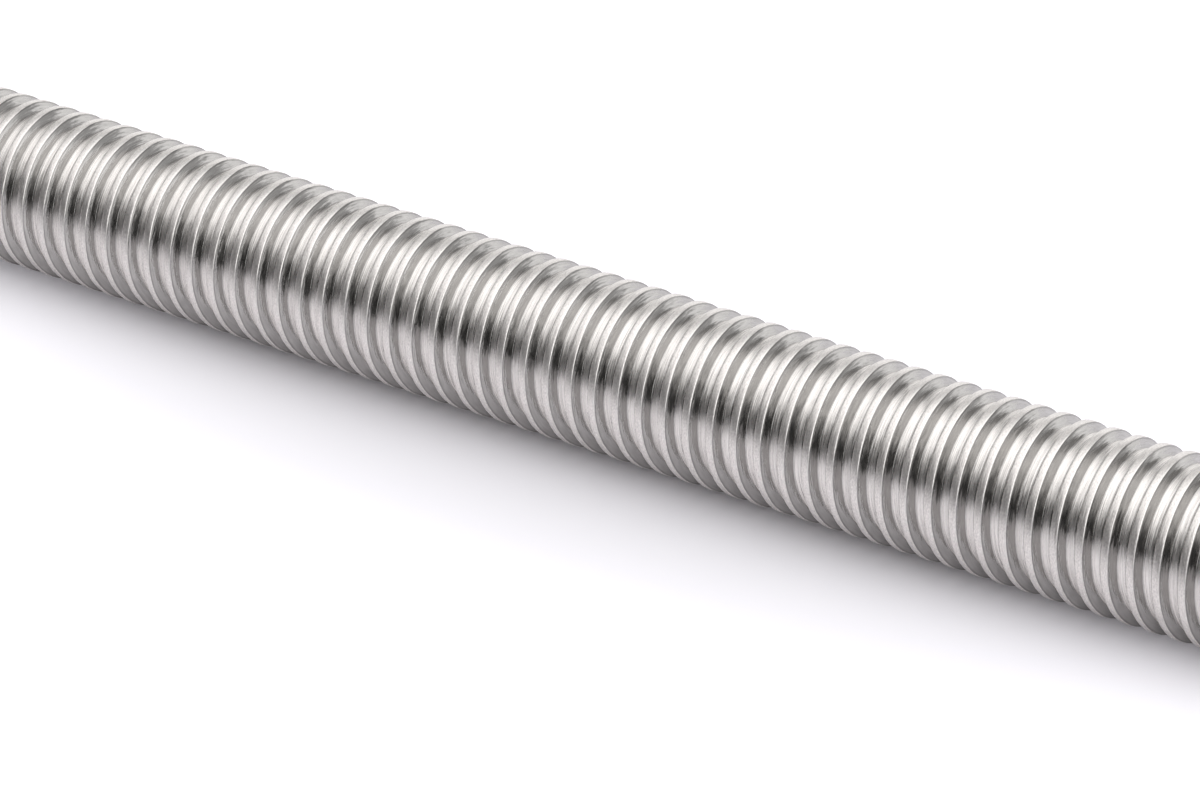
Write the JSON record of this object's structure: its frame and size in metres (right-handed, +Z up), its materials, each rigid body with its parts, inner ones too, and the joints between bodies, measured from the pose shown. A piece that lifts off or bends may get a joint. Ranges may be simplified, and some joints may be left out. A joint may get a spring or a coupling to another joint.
{
  "type": "threaded rod",
  "caption": "Straight stainless steel rod with a right-hand metric thread over its whole length and chamfered, square-cut ends, lying on its side.",
  "frame": {"origin": "on the rod's axis, midway between its two end faces", "axes": "+X along the rod, which lies on its side with +Z up"},
  "size_m": [0.1, 0.0078, 0.0078],
  "materials": {
    "steel": "bright stainless steel with fine marks that follow the thread"
  },
  "bodies": {
    "root": {"threaded_rod": "steel"}
  },
  "joints": []
}
